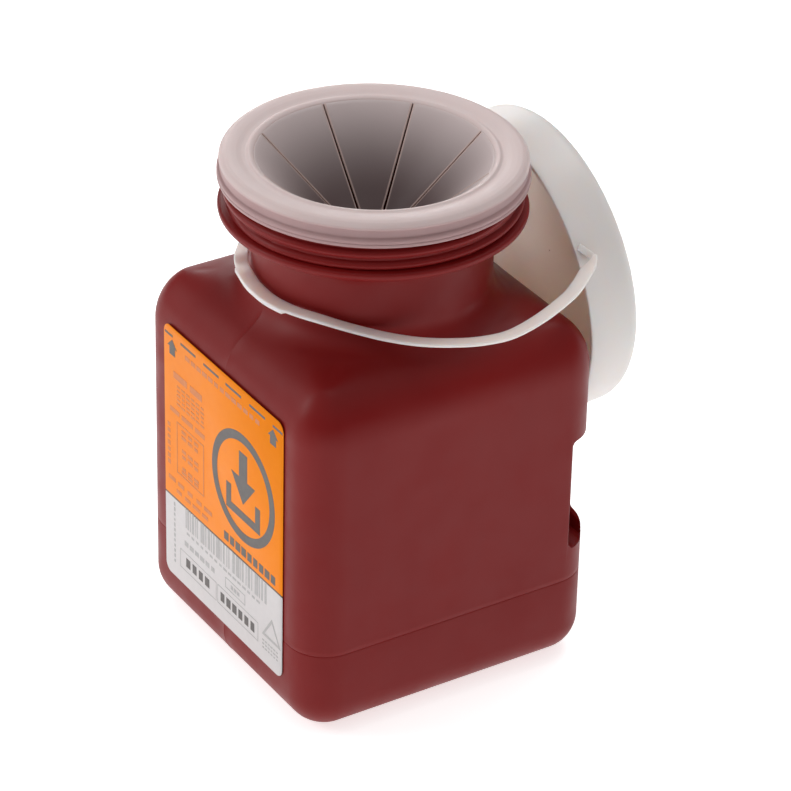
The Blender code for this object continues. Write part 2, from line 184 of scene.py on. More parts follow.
def moulded_skin():
    """The skin that a steel mould leaves on plastic: fine grain, slow waves and dull patches."""
    group = bpy.data.node_groups.new("moulded_skin", "ShaderNodeTree")
    add_sockets(group, "INPUT", ("Place", "Vector"), ("Grain Scale", "Float", 1400.0),
                ("Wave Scale", "Float", 40.0), ("Grain Depth", "Float", 0.01 * MM),
                ("Wave Depth", "Float", 0.2 * MM))
    add_sockets(group, "OUTPUT", ("Normal", "Vector"), ("Patches", "Float"), ("Clouds", "Float"))
    nodes, links = group.nodes, group.links
    inputs, outputs = nodes.new("NodeGroupInput"), nodes.new("NodeGroupOutput")
    place = inputs.outputs["Place"]
    normal = None
    for word, detail in (("Wave", 1.0), ("Grain", 2.0)):
        texture = nodes.new("ShaderNodeTexNoise")
        texture.inputs["Detail"].default_value = detail
        links.new(place, texture.inputs["Vector"])
        links.new(inputs.outputs[f"{word} Scale"], texture.inputs["Scale"])
        normal = bump(nodes, links, texture.outputs["Fac"], inputs.outputs[f"{word} Depth"], normal)
    links.new(normal, outputs.inputs["Normal"])
    links.new(noise(nodes, links, place, 95.0, 4.0), outputs.inputs["Patches"])
    links.new(noise(nodes, links, place, 22.0, 3.0), outputs.inputs["Clouds"])
    return group


MOULDED_SKIN = moulded_skin()


def plastic(name, gloss, grain_scale, wave_scale, grain_depth, wave_depth, **constants):
    """A moulded plastic: gloss is the least and most roughness, and the constants go straight to the shader.
    The colour is left to link, and the clouds that may vary it come back last."""
    made, nodes, links, shader, place = principled(name)
    for key, value in constants.items():
        shader.inputs[key.replace("_", " ")].default_value = value
    skin = nodes.new("ShaderNodeGroup")
    skin.node_tree = MOULDED_SKIN
    links.new(place, skin.inputs["Place"])
    for key, value in (("Grain Scale", grain_scale), ("Wave Scale", wave_scale), ("Grain Depth", grain_depth),
                       ("Wave Depth", wave_depth)):
        skin.inputs[key].default_value = value
    links.new(ranged(nodes, links, skin.outputs["Patches"], *gloss, 0.3, 0.7), shader.inputs["Roughness"])
    links.new(skin.outputs["Normal"], shader.inputs["Normal"])
    return made, nodes, links, shader, place, skin.outputs["Clouds"]


TABLE_GLOW = 0.68
bench_finish, nodes, links, shader, place = principled("bench_top")
links.new(blended(nodes, links, noise(nodes, links, place, 8.0), (0.89, 0.89, 0.89), (0.92, 0.92, 0.92)),
          shader.inputs["Base Color"])
shader.inputs["Roughness"].default_value = 0.7
shader.inputs["Specular IOR Level"].default_value = 0.2
shader.inputs["Emission Color"].default_value = (1.0, 1.0, 1.0, 1.0)
shader.inputs["Emission Strength"].default_value = TABLE_GLOW
bench_mesh = bpy.data.meshes.new("bench")
bench_mesh.from_pydata([(-6, -6, 0), (6, -6, 0), (6, 6, 0), (-6, 6, 0)], [], [(0, 1, 2, 3)])
bench_mesh.materials.append(bench_finish)
bench = bpy.data.objects.new("bench", bench_mesh)
scene.collection.objects.link(bench)

# ---------------------------------------------------------------------------------------------- bottle
# Blow-moulded in dark red polyethylene, in a steel mould whose halves meet on the middle of the front. A
# separate insert forms the base, and leaves a fine line round the foot of the sides.

HALF_WIDTH = 57.15 * MM
CORNER_RADIUS = 14.0 * MM
BASE_EDGE_RADIUS = 13.5 * MM
BOTTLE_WALL = 1.7 * MM
SIDE_TOP = 112.5 * MM
SHOULDER_RADIUS = 21.0 * MM
SHOULDER_SLOPE, SLOPE_FROM = 0.1, 18 * MM
NECK_RADIUS = 40.5 * MM
NECK_FILLET = 8.0 * MM
FINISH_RADIUS = 48.6 * MM
THREAD_PITCH = 4.2 * MM
THREAD_HEIGHT = 1.5 * MM
THREAD_START = 167.2 * MM
THREAD_PHASE = math.radians(247.3)
THREAD_TURNS = 1.45
INSERT_LINE = 32.9 * MM
FLAT_STEPS = 12
ARC_STEPS = 14
NOTCH_FRONT = 45.75 * MM
NOTCH_NEAR = 40.75 * MM
NOTCH_HIGH = 88.2 * MM
NOTCH_LIP = 50.4 * MM
POCKET_LOW = 44.7 * MM
LIP_FACE = 55.45 * MM


def add_piece(name, verts, faces, finish=None, sharp=35.0):
    """A smooth-shaded mesh object in the scene."""
    mesh = bpy.data.meshes.new(name)
    mesh.from_pydata([tuple(v) for v in verts], [], faces)
    made = bpy.data.objects.new(name, mesh)
    scene.collection.objects.link(made)
    if finish:
        mesh.materials.append(finish)
    shade(made, sharp)
    return made


def shade(obj, sharp=35.0):
    obj.data.shade_smooth()
    obj.data.set_sharp_from_angle(angle=math.radians(sharp))


def skinned(rings, closed=False):
    """Vertices and faces through rings of equal counts, with both ends capped unless they meet."""
    count = len(rings[0])
    verts = [point for ring in rings for point in ring]
    faces = []
    last = len(rings) if closed else len(rings) - 1
    for row in range(last):
        a, b = row * count, (row + 1) % len(rings) * count
        faces += [(a + i, a + (i + 1) % count, b + (i + 1) % count, b + i) for i in range(count)]
    if not closed:
        faces.append(tuple(reversed(range(count))))
        faces.append(tuple(range((len(rings) - 1) * count, len(rings) * count)))
    return verts, faces


def outward(obj):
    bm = bmesh.new()
    bm.from_mesh(obj.data)
    bmesh.ops.recalc_face_normals(bm, faces=bm.faces)
    bm.to_mesh(obj.data)
    bm.free()


def smoothstep(value, low, high):
    t = min(max((value - low) / (high - low), 0.0), 1.0)
    return t * t * (3 - 2 * t)


def side_steps():
    """Where the points lie on half of a flat side, from its middle: close together at the parting line."""
    return [0.0, 0.0045, 0.009] + [k / FLAT_STEPS for k in range(1, FLAT_STEPS)]


def rounded_square(half, corner, z):
    corner = max(corner, 0.8 * MM)
    flat = half - corner
    quarter = [(half, flat * step) for step in side_steps()]
    quarter += [(flat + corner * math.cos(a), flat + corner * math.sin(a))
                for a in (math.pi / 2 * k / ARC_STEPS for k in range(ARC_STEPS + 1))]
    quarter += [(flat * step, half) for step in reversed(side_steps()[1:])]
    turns = ((1, 0, 0, 1), (0, -1, 1, 0), (-1, 0, 0, -1), (0, 1, -1, 0))
    return [Vector((a * x + b * y, c * x + d * y, z)) for a, b, c, d in turns for x, y in quarter]


def depth_inside(x, y, half, corner):
    def plain(radius):
        over_x, over_y = abs(x) - (half - radius), abs(y) - (half - radius)
        if over_x > 0 and over_y > 0:
            return radius - math.hypot(over_x, over_y)
        return radius - max(over_x, over_y)

    near = plain(corner)
    share = smoothstep(near, 8 * MM, 20 * MM)
    return near * (1 - share) + plain(30 * MM) * share


def round_ring(directions, radius, z):
    return [Vector((radius * math.cos(a), radius * math.sin(a), z)) for a in directions]


def box_rings(half, corner, edge, floor):
    """From the floor round the bottom edge and up to the foot of the shoulder."""
    rings = []
    for step in range(13):
        angle = math.pi / 2 * step / 12
        inset = edge * (1 - math.sin(angle))
        rings.append(rounded_square(half - inset, corner - inset, floor + edge * (1 - math.cos(angle))))
    return rings


def shoulder_rings(half, corner, arc, neck, fillet, count):
    foot = rounded_square(half, corner, SIDE_TOP)
    rings = []
    for k in range(count + 1):
        share = (1 - math.cos(math.pi * k / count)) / 2
        ring = []
        for start in foot:
            radius = math.hypot(start.x, start.y)
            radius += (neck - radius) * share
            angle = math.atan2(start.y, start.x)
            x, y = radius * math.cos(angle), radius * math.sin(angle)
            deep = max(depth_inside(x, y, half, corner), 0.0) if k else 0.0
            z = SIDE_TOP + math.sqrt(max(arc**2 - (arc - min(deep, arc)) ** 2, 0.0))
            z += SHOULDER_SLOPE * max(0.0, deep - SLOPE_FROM)
            if radius < neck + fillet:
                z += fillet - math.sqrt(max(fillet**2 - (neck + fillet - radius) ** 2, 0.0))
            ring.append(Vector((x, y, z)))
        rings.append(ring)
    return rings


def thread_ridge(angle, z, phase, start, turns):
    best = 0.0
    first = ((angle - phase) / (2 * math.pi)) % 1.0
    for turn in range(math.ceil(turns) + 1):
        along = first + turn
        if along <= turns:
            ends = smoothstep(along, 0.0, 0.12) * (1 - smoothstep(along, turns - 0.12, turns))
            away = abs(z - start - THREAD_PITCH * along) / (THREAD_PITCH * 0.40)
            best = max(best, ends * max(0.0, 1 - away**2) ** 0.8)
    return best


def thread_rings(directions, low, high, count, radius, phase, start, turns, height=THREAD_HEIGHT):
    rings = []
    for k in range(count + 1):
        z = low + (high - low) * k / count
        rings.append([Vector(((radius + height * thread_ridge(a, z, phase, start, turns)) * math.cos(a),
                              (radius + height * thread_ridge(a, z, phase, start, turns)) * math.sin(a), z))
                      for a in directions])
    return rings


def cut(target, tool):
    boolean = target.modifiers.new(tool.name, "BOOLEAN")
    boolean.operation = "DIFFERENCE"
    boolean.solver = "EXACT"
    boolean.object = tool


def finished(obj):
    """Applies the modifiers by taking the evaluated mesh."""
    made = bpy.data.meshes.new_from_object(obj.evaluated_get(bpy.context.evaluated_depsgraph_get()))
    obj.modifiers.clear()
    old, obj.data = obj.data, made
    bpy.data.meshes.remove(old)
    obj.data.name = obj.name


def notch_tool(name, side, grown):
    """The bracket notch in a back corner, as its outline in Y and Z drawn out along X. It flares at the side,
    which rounds the notch's front edge."""
    near = NOTCH_NEAR - grown
    slices = [(near, -0.9), (near + 0.25 * MM, -0.35), (near + 0.9 * MM, 0), (HALF_WIDTH - 1.3 * MM, 0),
              (HALF_WIDTH - 0.75 * MM, 0.1), (HALF_WIDTH - 0.35 * MM, 0.28), (HALF_WIDTH - 0.05 * MM, 0.7),
              (HALF_WIDTH + 3 * MM, 2.5)]
    behind = HALF_WIDTH + 6 * MM
    rings = []
    for x, flare in slices:
        flare *= MM * (0.0 if grown else 1.0)
        front, low, high = NOTCH_FRONT - grown - flare, POCKET_LOW - grown - flare, NOTCH_HIGH + grown + flare
        if grown:
            outline = [(front, low), (behind, low), (behind, high), (front + 1 * MM, high),
                       (front, high - 2 * MM)]
        else:
            # The lip's top slopes down a little towards the side
            lip, lip_top = LIP_FACE + min(flare, 0.3 * MM), NOTCH_LIP - flare - 0.18 * max(0.0, x - 44 * MM)
            outline = [(front, low + 3.4 * MM), (front + 0.45 * MM, low + 1.7 * MM),
                       (front + 1.7 * MM, low + 0.45 * MM), (front + 3.4 * MM, low), (lip - 2.6 * MM, low),
                       (lip - 0.9 * MM, low + 0.7 * MM), (lip - 0.2 * MM, low + 2.0 * MM),
                       (lip, lip_top - 1.8 * MM), (lip + 0.4 * MM, lip_top - 0.6 * MM),
                       (lip + 1.7 * MM, lip_top), (behind, lip_top + 0.3 * MM), (behind, high + 0.4 * MM),
                       (HALF_WIDTH, high), (front + 3.0 * MM, high), (front + 1.6 * MM, high - 0.2 * MM),
                       (front + 0.65 * MM, high - 0.75 * MM), (front + 0.15 * MM, high - 1.7 * MM),
                       (front, high - 2.9 * MM)]
        rings.append([Vector((side * x, y, z)) for y, z in outline])
    tool = add_piece(name, *skinned(rings))
    outward(tool)
    return tool


def bottle_shell():
    rings = [[Vector((v.x, v.y, 0.7 * MM)) for v in rounded_square(HALF_WIDTH - 19 * MM, 1 * MM, 0.0)]]
    rings.append([Vector((v.x, v.y, 0.0)) for v in rounded_square(HALF_WIDTH - 16 * MM, 1 * MM, 0.0)])
    rings += box_rings(HALF_WIDTH, CORNER_RADIUS, BASE_EDGE_RADIUS, 0.0)
    for z, inset in ((-0.5, 0.0), (-0.25, 0.05), (0.0, 0.17), (0.2, 0.13), (0.45, 0.0), (2.0, 0.0)):
        inset *= MM
        rings.append(rounded_square(HALF_WIDTH - inset, CORNER_RADIUS - inset, INSERT_LINE + z * MM))
    rings += [rounded_square(HALF_WIDTH, CORNER_RADIUS, z * MM) for z in (60.0, 90.0, 108.0)]
    rings += shoulder_rings(HALF_WIDTH, CORNER_RADIUS, SHOULDER_RADIUS, NECK_RADIUS, NECK_FILLET, 46)
    # The parting line stands a hair proud on both sides that the mould halves share
    count = len(rings[0])
    quarter = count // 4
    for number, ring in enumerate(rings[2:], 2):
        for middle in (quarter, 3 * quarter):
            for step, rise in ((-1, 0.06), (0, 0.13), (1, 0.06)):
                point = ring[(middle + step) % count]
                if 1.0 * MM < point.z and number < len(rings) - 3:
                    point.y += math.copysign(rise * MM, point.y) * (1 - smoothstep(point.z, 0.110, 0.116))
                    point.z += rise * MM * smoothstep(point.z, 0.110, 0.120)
    directions = [math.atan2(p.y, p.x) for p in rings[-1]]
    # Neck, the flange under the thread, the threaded finish and its lip
    neck = [(40.5, 143.5), (40.5, 148.0), (40.5, 153.0), (40.55, 155.4), (40.8, 157.4), (41.4, 159.2),
            (42.4, 160.8), (43.8, 162.0), (45.6, 162.9), (47.6, 163.3), (49.6, 163.5), (50.6, 163.65),
            (51.2, 163.95), (51.55, 164.4), (51.7, 165.0), (51.68, 165.7), (51.45, 166.2), (51.0, 166.5),
            (50.3, 166.65), (49.6, 166.7), (49.0, 166.85)]
    rings += [round_ring(directions, r * MM, z * MM) for r, z in neck]
    rings += thread_rings(directions, 167.05 * MM, 175.4 * MM, 44, FINISH_RADIUS, THREAD_PHASE, THREAD_START,
                          THREAD_TURNS)
    rings += [round_ring(directions, r * MM, z * MM) for r, z in ((48.6, 180.6), (48.4, 181.2), (47.9, 181.6))]
    return add_piece("bottle", *skinned(rings)), directions


def bottle_cavity(directions):
    inner = HALF_WIDTH - BOTTLE_WALL
    rings = box_rings(inner, CORNER_RADIUS - BOTTLE_WALL, BASE_EDGE_RADIUS - BOTTLE_WALL, BOTTLE_WALL)
    rings += shoulder_rings(inner, CORNER_RADIUS - BOTTLE_WALL, SHOULDER_RADIUS - BOTTLE_WALL,
                            NECK_RADIUS - BOTTLE_WALL, NECK_FILLET + BOTTLE_WALL, 30)
    throat = [(38.8, 149.0), (38.8, 155.0), (38.9, 157.0), (39.6, 159.8), (41.2, 162.2), (43.6, 164.2),
              (45.4, 165.6), (46.4, 167.0), (46.6, 168.6), (46.6, 178.0), (46.6, 181.0), (47.0, 181.6),
              (47.6, 185.0)]
    rings += [round_ring(directions, r * MM, z * MM) for r, z in throat]
    return add_piece("bottle_cavity", *skinned(rings))


def red_polyethylene():
    made, nodes, links, shader, place, clouds = plastic(
        "red_polyethylene", (0.38, 0.52), 1500.0, 26.0, 0.012 * MM, 0.35 * MM, Specular_IOR_Level=0.22,
        Subsurface_Weight=0.06, Subsurface_Radius=(0.004, 0.0006, 0.0006), Subsurface_Scale=1.0)
    streaks = ranged(nodes, links, noise(nodes, links, place, 60.0, 2.0, (1, 1, 0.12)), 0.0, 0.25, 0.35, 0.75)
    tone = blended(nodes, links, clouds, (0.180, 0.0036, 0.0038), (0.218, 0.0062, 0.0060))
    links.new(blended(nodes, links, streaks, tone, (0.225, 0.012, 0.010)), shader.inputs["Base Color"])
    return made


RED = red_polyethylene()
bottle, ring_directions = bottle_shell()
cavity = bottle_cavity(ring_directions)
for piece in (bottle, cavity):
    outward(piece)
tools = [cavity]
for side, word in ((1, "right"), (-1, "left")):
    for grown, target in ((0.0, bottle), (BOTTLE_WALL, cavity)):
        tools.append(notch_tool(f"notch_{word}_{'cut' if target is bottle else 'wall'}", side, grown))
        cut(target, tools[-1])
finished(cavity)
cut(bottle, cavity)
finished(bottle)
for tool in tools:
    bpy.data.objects.remove(tool, do_unlink=True)
bottle.data.materials.clear()
bottle.data.materials.append(RED)
shade(bottle, 32.0)
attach(bottle, "bottle")
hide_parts("bottle_body")

# ----------------------------------------------------------------------------------------------- label
# A die-cut film label with rounded corners, stuck on the front after moulding: orange above, pale grey below,
# with its lines of print drawn here as plain bars.

LABEL_LEFT, LABEL_RIGHT = -39.7 * MM, 39.7 * MM
LABEL_LOW, LABEL_HIGH = 17.2 * MM, 117.0 * MM
LABEL_CORNER = 3.5 * MM
LABEL_BACK = -HALF_WIDTH - 0.3 * MM
LABEL_FACE = LABEL_BACK - 0.2 * MM
COLOUR_CHANGE = 50.0 * MM


def film_label():
    made, nodes, links, shader, place = principled("label_film")
    axes = nodes.new("ShaderNodeSeparateXYZ")
    links.new(place, axes.inputs["Vector"])
    edge = calculated(nodes, links, "MULTIPLY_ADD", axes.outputs["X"], -0.012, axes.outputs["Z"])
    orange = calculated(nodes, links, "GREATER_THAN", edge, COLOUR_CHANGE)
    away = calculated(nodes, links, "ABSOLUTE", calculated(nodes, links, "SUBTRACT", edge, COLOUR_CHANGE))
    line = calculated(nodes, links, "LESS_THAN", away, 0.35 * MM)
    mottle = noise(nodes, links, place, 420.0, 4.0)
    wash = noise(nodes, links, place, 30.0, 2.0)
    warm = blended(nodes, links, mottle, (0.90, 0.232, 0.002), (0.94, 0.265, 0.004))
    warm = blended(nodes, links, ranged(nodes, links, wash, 0.0, 0.5, 0.4, 0.8), warm, (0.90, 0.262, 0.006))
    pale = blended(nodes, links, mottle, (0.62, 0.595, 0.60), (0.68, 0.655, 0.655))
    both = blended(nodes, links, orange, pale, warm)
    links.new(blended(nodes, links, line, both, (0.12, 0.09, 0.07)), shader.inputs["Base Color"])
    links.new(ranged(nodes, links, noise(nodes, links, place, 160.0), 0.36, 0.5), shader.inputs["Roughness"])
    shader.inputs["Specular IOR Level"].default_value = 0.09
    slow = bump(nodes, links, noise(nodes, links, place, 70.0, 2.0), 0.15 * MM)
    fine = bump(nodes, links, noise(nodes, links, place, 900.0, 3.0), 0.01 * MM, slow)
    links.new(fine, shader.inputs["Normal"])
    return made


def label_outline(inset):
    x0, x1 = LABEL_LEFT + inset, LABEL_RIGHT - inset
    z0, z1 = LABEL_LOW + inset, LABEL_HIGH - inset
    points = []
    for cx, cz, start in ((x1, z1, 0), (x0, z1, 90), (x0, z0, 180), (x1, z0, 270)):
        for step in range(13):
            a = math.radians(start + 7.5 * step)
            radius = LABEL_CORNER - inset
            sx, sz = (1 if cx == x1 else -1), (1 if cz == z1 else -1)
            points.append((cx - sx * radius + radius * math.cos(a), cz - sz * radius + radius * math.sin(a)))
    return points


label_rings = [[Vector((x, y, z)) for x, z in label_outline(inset)]
               for inset, y in ((0, LABEL_BACK), (0, LABEL_FACE + 0.06 * MM), (0.06 * MM, LABEL_FACE))]
label = add_piece("label_sheet", *skinned(label_rings), film_label(), 50.0)
outward(label)
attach(label, "bottle")
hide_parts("label")


def ink(name, colour):
    made, nodes, links, shader, place = principled(name)
    lighter = tuple(min(1.0, value * 1.35 + 0.01) for value in colour)
    links.new(blended(nodes, links, noise(nodes, links, place, 500.0, 3.0), colour, lighter),
              shader.inputs["Base Color"])
    links.new(ranged(nodes, links, noise(nodes, links, place, 200.0), 0.42, 0.6), shader.inputs["Roughness"])
    return made


DARK_INK = ink("dark_ink", (0.085, 0.075, 0.072))
BROWN_INK = ink("brown_ink", (0.52, 0.155, 0.035))
GREY_INK = ink("grey_ink", (0.36, 0.35, 0.35))


def bar_tree():
    """Geometry Nodes for one line of print: bars in a row, whose lengths vary as words do."""
    tree = bpy.data.node_groups.new("print_line", "GeometryNodeTree")
    add_sockets(tree, "INPUT", ("Geometry", "Geometry"), ("Start", "Vector"), ("Step", "Vector"),
                ("Count", "Int", 4), ("Bar Length", "Float", 1 * MM), ("Bar Height", "Float", 1 * MM),
                ("Least", "Float", 0.6), ("Turn", "Float", 0.0), ("Seed", "Int", 1), ("Ink", "Material"))
    add_sockets(tree, "OUTPUT", ("Geometry", "Geometry"))
    nodes, links = tree.nodes, tree.links
    inputs, outputs = nodes.new("NodeGroupInput"), nodes.new("NodeGroupOutput")
    row = nodes.new("GeometryNodeMeshLine")
    links.new(inputs.outputs["Count"], row.inputs["Count"])
    links.new(inputs.outputs["Start"], row.inputs["Start Location"])
    links.new(inputs.outputs["Step"], row.inputs["Offset"])
    bar = nodes.new("GeometryNodeMeshCube")
    size = nodes.new("ShaderNodeCombineXYZ")
    links.new(inputs.outputs["Bar Length"], size.inputs["X"])
    links.new(inputs.outputs["Bar Height"], size.inputs["Z"])
    size.inputs["Y"].default_value = 0.05 * MM
    links.new(size.outputs["Vector"], bar.inputs["Size"])
    vary = nodes.new("FunctionNodeRandomValue")
    vary.data_type = "FLOAT"
    links.new(inputs.outputs["Least"], vary.inputs[2])
    vary.inputs[3].default_value = 1.0
    links.new(inputs.outputs["Seed"], vary.inputs["Seed"])
    scale = nodes.new("ShaderNodeCombineXYZ")
    links.new(vary.outputs[1], scale.inputs["X"])
    scale.inputs["Y"].default_value = 1.0
    scale.inputs["Z"].default_value = 1.0
    turn = nodes.new("ShaderNodeCombineXYZ")
    links.new(inputs.outputs["Turn"], turn.inputs["Y"])
    placed = nodes.new("GeometryNodeInstanceOnPoints")
    links.new(row.outputs["Mesh"], placed.inputs["Points"])
    links.new(bar.outputs["Mesh"], placed.inputs["Instance"])
    links.new(scale.outputs["Vector"], placed.inputs["Scale"])
    links.new(turn.outputs["Vector"], placed.inputs["Rotation"])
    real = nodes.new("GeometryNodeRealizeInstances")
    links.new(placed.outputs["Instances"], real.inputs["Geometry"])
    inked = nodes.new("GeometryNodeSetMaterial")
    links.new(real.outputs["Geometry"], inked.inputs["Geometry"])
    links.new(inputs.outputs["Ink"], inked.inputs["Material"])
    links.new(inked.outputs["Geometry"], outputs.inputs["Geometry"])
    return tree


PRINT_LINE = bar_tree()
print_meshes = {DARK_INK: [], BROWN_INK: [], GREY_INK: []}
PRINT_FACE = LABEL_FACE - 0.02 * MM


def print_line(x0, x1, z, height, count, paint, least=0.6, fill=0.82, upright=False, seed=1):
    """A line of print from x0 to x1 at z, in millimetres. An upright one starts at z and is as long."""
    length = (x1 - x0) / count * MM
    holder = bpy.data.objects.new("print_line", bpy.data.meshes.new("print_line"))
    scene.collection.objects.link(holder)
    line = holder.modifiers.new("line", "NODES")
    line.node_group = PRINT_LINE
    step = Vector((0, 0, length) if upright else (length, 0, 0))
    values = {"Start": Vector((x0 * MM, PRINT_FACE, z * MM)) + step / 2, "Step": step, "Count": count,
              "Bar Length": length * fill, "Bar Height": height * MM, "Least": least,
              "Turn": math.pi / 2 if upright else 0.0, "Seed": seed, "Ink": paint}
    for item in PRINT_LINE.interface.items_tree:
        if item.in_out == "INPUT" and item.name in values:
            line[item.identifier] = values[item.name]
    made = bpy.data.meshes.new_from_object(holder.evaluated_get(bpy.context.evaluated_depsgraph_get()))
    bpy.data.objects.remove(holder, do_unlink=True)
    print_meshes[paint].append(made)


def print_shape(points, paint, hole=None):
    """A flat printed shape from its outline in X and Z, in millimetres, less a hole of as many points."""
    front, rear = PRINT_FACE - 0.025 * MM, PRINT_FACE + 0.025 * MM
    rows = [points, hole] if hole else [points]
    verts = [(x * MM, y, z * MM) for row in rows for y in (rear, front) for x, z in row]
    n = len(points)
    faces = []
    for k in range(n):
        j = (k + 1) % n
        faces.append((k, j, n + j, n + k))
        if hole:
            faces += [(2 * n + j, 2 * n + k, 3 * n + k, 3 * n + j), (n + k, n + j, 3 * n + j, 3 * n + k),
                      (j, k, 2 * n + k, 2 * n + j)]
    if not hole:
        faces += [tuple(range(n))[::-1], tuple(range(n, 2 * n))]
    made = bpy.data.meshes.new("print_shape")
    made.from_pydata(verts, [], faces)
    made.materials.append(paint)
    print_meshes[paint].append(made)


def disc(cx, cz, radius, count=48):
    return [(cx + radius * math.cos(math.tau * k / count), cz + radius * math.sin(math.tau * k / count))
            for k in range(count)]


def frame_shape(x0, x1, z0, z1, stroke, paint):
    print_shape([(x0, z0), (x1, z0), (x1, z1), (x0, z1)], paint,
                [(x0 + stroke, z0 + stroke), (x1 - stroke, z0 + stroke), (x1 - stroke, z1 - stroke),
                 (x0 + stroke, z1 - stroke)])


# Fill line and its two arrows
for x0, x1 in ((-39.0, -33.6), (-28.2, -18.0), (-12.6, -2.4), (2.2, 12.5), (17.8, 28.0), (33.0, 39.2)):
    print_line(x0, x1, 113.6, 0.9, 1, DARK_INK, 1.0, 1.0)
for x in (-34.0, 33.2):
    print_shape([(x - 1.9, 106.2), (x + 1.9, 106.2), (x + 1.9, 109.2), (x + 3.2, 109.2), (x, 112.3),
                 (x - 3.2, 109.2), (x - 1.9, 109.2)], DARK_INK)
print_line(-25.5, 25.0, 109.8, 1.7, 13, BROWN_INK, 0.7, 0.85, seed=3)
# The column at the left
print_line(-34.0, -12.5, 99.3, 2.6, 2, BROWN_INK, 0.8, 0.92, seed=4)
for row in range(5):
    print_line(-31.5, -12.0, 95.6 - 1.75 * row, 0.8, 6, BROWN_INK, 0.55, 0.85, seed=10 + row)
print_line(-37.0, -11.0, 84.9, 1.8, 3, BROWN_INK, 0.7, 0.88, seed=5)
frame_shape(-31.4, -12.6, 61.0, 81.6, 0.55, BROWN_INK)
for row, z in enumerate((79.2, 76.9, 71.6, 69.3, 64.6, 62.9)):
    print_line(-28.5, -15.8, z, 1.3, 3, BROWN_INK, 0.6, 0.85, seed=20 + row)
print_line(-36.8, -19.2, 61.5, 1.9, 7, BROWN_INK, 0.6, 0.8, upright=True, seed=6)
print_line(-38.0, -6.8, 56.8, 1.6, 5, BROWN_INK, 0.6, 0.88, seed=7)
print_line(-33.0, -9.0, 53.4, 1.4, 4, BROWN_INK, 0.6, 0.88, seed=8)
# A plain emblem: a ring, and an arrow that drops into a tray
print_shape(disc(13.8, 79.0, 20.8, 96), DARK_INK, disc(13.8, 79.0, 17.4, 96))
print_shape([(16.5, 92.6), (16.5, 82.4), (21.7, 82.4), (13.8, 72.6), (5.9, 82.4), (11.1, 82.4), (11.1, 92.6)],
            DARK_INK)
print_shape([(2.6, 76.4), (2.6, 66.4), (25.0, 66.4), (25.0, 76.4), (21.8, 76.4), (21.8, 69.6), (5.8, 69.6),
             (5.8, 76.4)], DARK_INK)
print_line(0.6, 35.6, 53.9, 3.3, 9, DARK_INK, 0.85, 0.82, seed=9)
# The pale part
bars = [(-25.6, 0.5), (-24.4, 1.0), (-22.6, 0.5), (-21.2, 1.4), (-18.8, 0.5), (-17.6, 0.5), (-15.2, 2.6),
        (-11.9, 0.6), (-10.2, 1.5), (-8.0, 0.5), (-6.6, 1.0), (-4.6, 2.6), (-1.4, 0.5), (0.2, 1.0), (2.6, 0.5),
        (4.0, 0.5), (6.6, 1.5), (9.0, 2.4), (12.0, 0.5), (13.2, 0.9), (15.6, 0.5), (17.0, 1.4), (19.4, 0.5),
        (21.6, 2.4), (24.6, 0.5), (26.0, 1.0), (28.2, 1.2)]
for x, width in bars:
    print_line(x, x + width, 45.6, 8.2, 1, GREY_INK, 1.0, 1.0)
print_line(-25.5, 25.5, 39.6, 0.9, 16, GREY_INK, 0.6, 0.8, seed=31)
print_line(-27.0, -5.0, 34.9, 1.9, 6, GREY_INK, 0.75, 0.8, seed=32)
frame_shape(1.8, 15.2, 32.8, 37.0, 0.3, GREY_INK)
print_line(5.2, 11.6, 34.9, 1.5, 3, GREY_INK, 0.8, 0.8, seed=33)
frame_shape(-29.6, -4.4, 23.4, 31.0, 0.25, GREY_INK)
frame_shape(-3.6, 24.0, 23.4, 31.0, 0.25, GREY_INK)
print_line(-26.2, -8.6, 27.4, 3.6, 4, DARK_INK, 0.85, 0.72, seed=34)
print_line(-2.2, 22.2, 27.2, 3.6, 6, DARK_INK, 0.85, 0.72, seed=35)
print_line(-33.4, -8.0, 22.6, 0.9, 12, GREY_INK, 0.6, 0.75, upright=True, seed=36)
print_shape([(39.0, 28.4), (26.6, 28.4), (33.0, 37.6)], GREY_INK, [(37.5, 29.4), (28.3, 29.4), (33.0, 35.9)])
for row in range(3):
    print_line(26.5, 37.5, 26.2 - 1.5 * row, 0.55, 6, GREY_INK, 0.6, 0.8, seed=40 + row)

for paint, meshes in print_meshes.items():
    bm = bmesh.new()
    for mesh in meshes:
        bm.from_mesh(mesh)
        bpy.data.meshes.remove(mesh)
    bmesh.ops.recalc_face_normals(bm, faces=bm.faces)
    printed = bpy.data.meshes.new(f"label_{paint.name}")
    bm.to_mesh(printed)
    bm.free()
    printed.materials.clear()
    printed.materials.append(paint)
    for face in printed.polygons:
        face.material_index = 0
    piece = bpy.data.objects.new(printed.name, printed)
    scene.collection.objects.link(piece)
    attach(piece, "bottle")

# ----------------------------------------------------------------------------------------- funnel ring
# Injection-moulded in natural polyethylene, so it is milky and lets some light through. The ring snaps over
# the lip of the bottle, and its inner edge carries the flaps.

TURN_STEPS = 192
ALL_ROUND = [math.tau * k / TURN_STEPS for k in range(TURN_STEPS)]


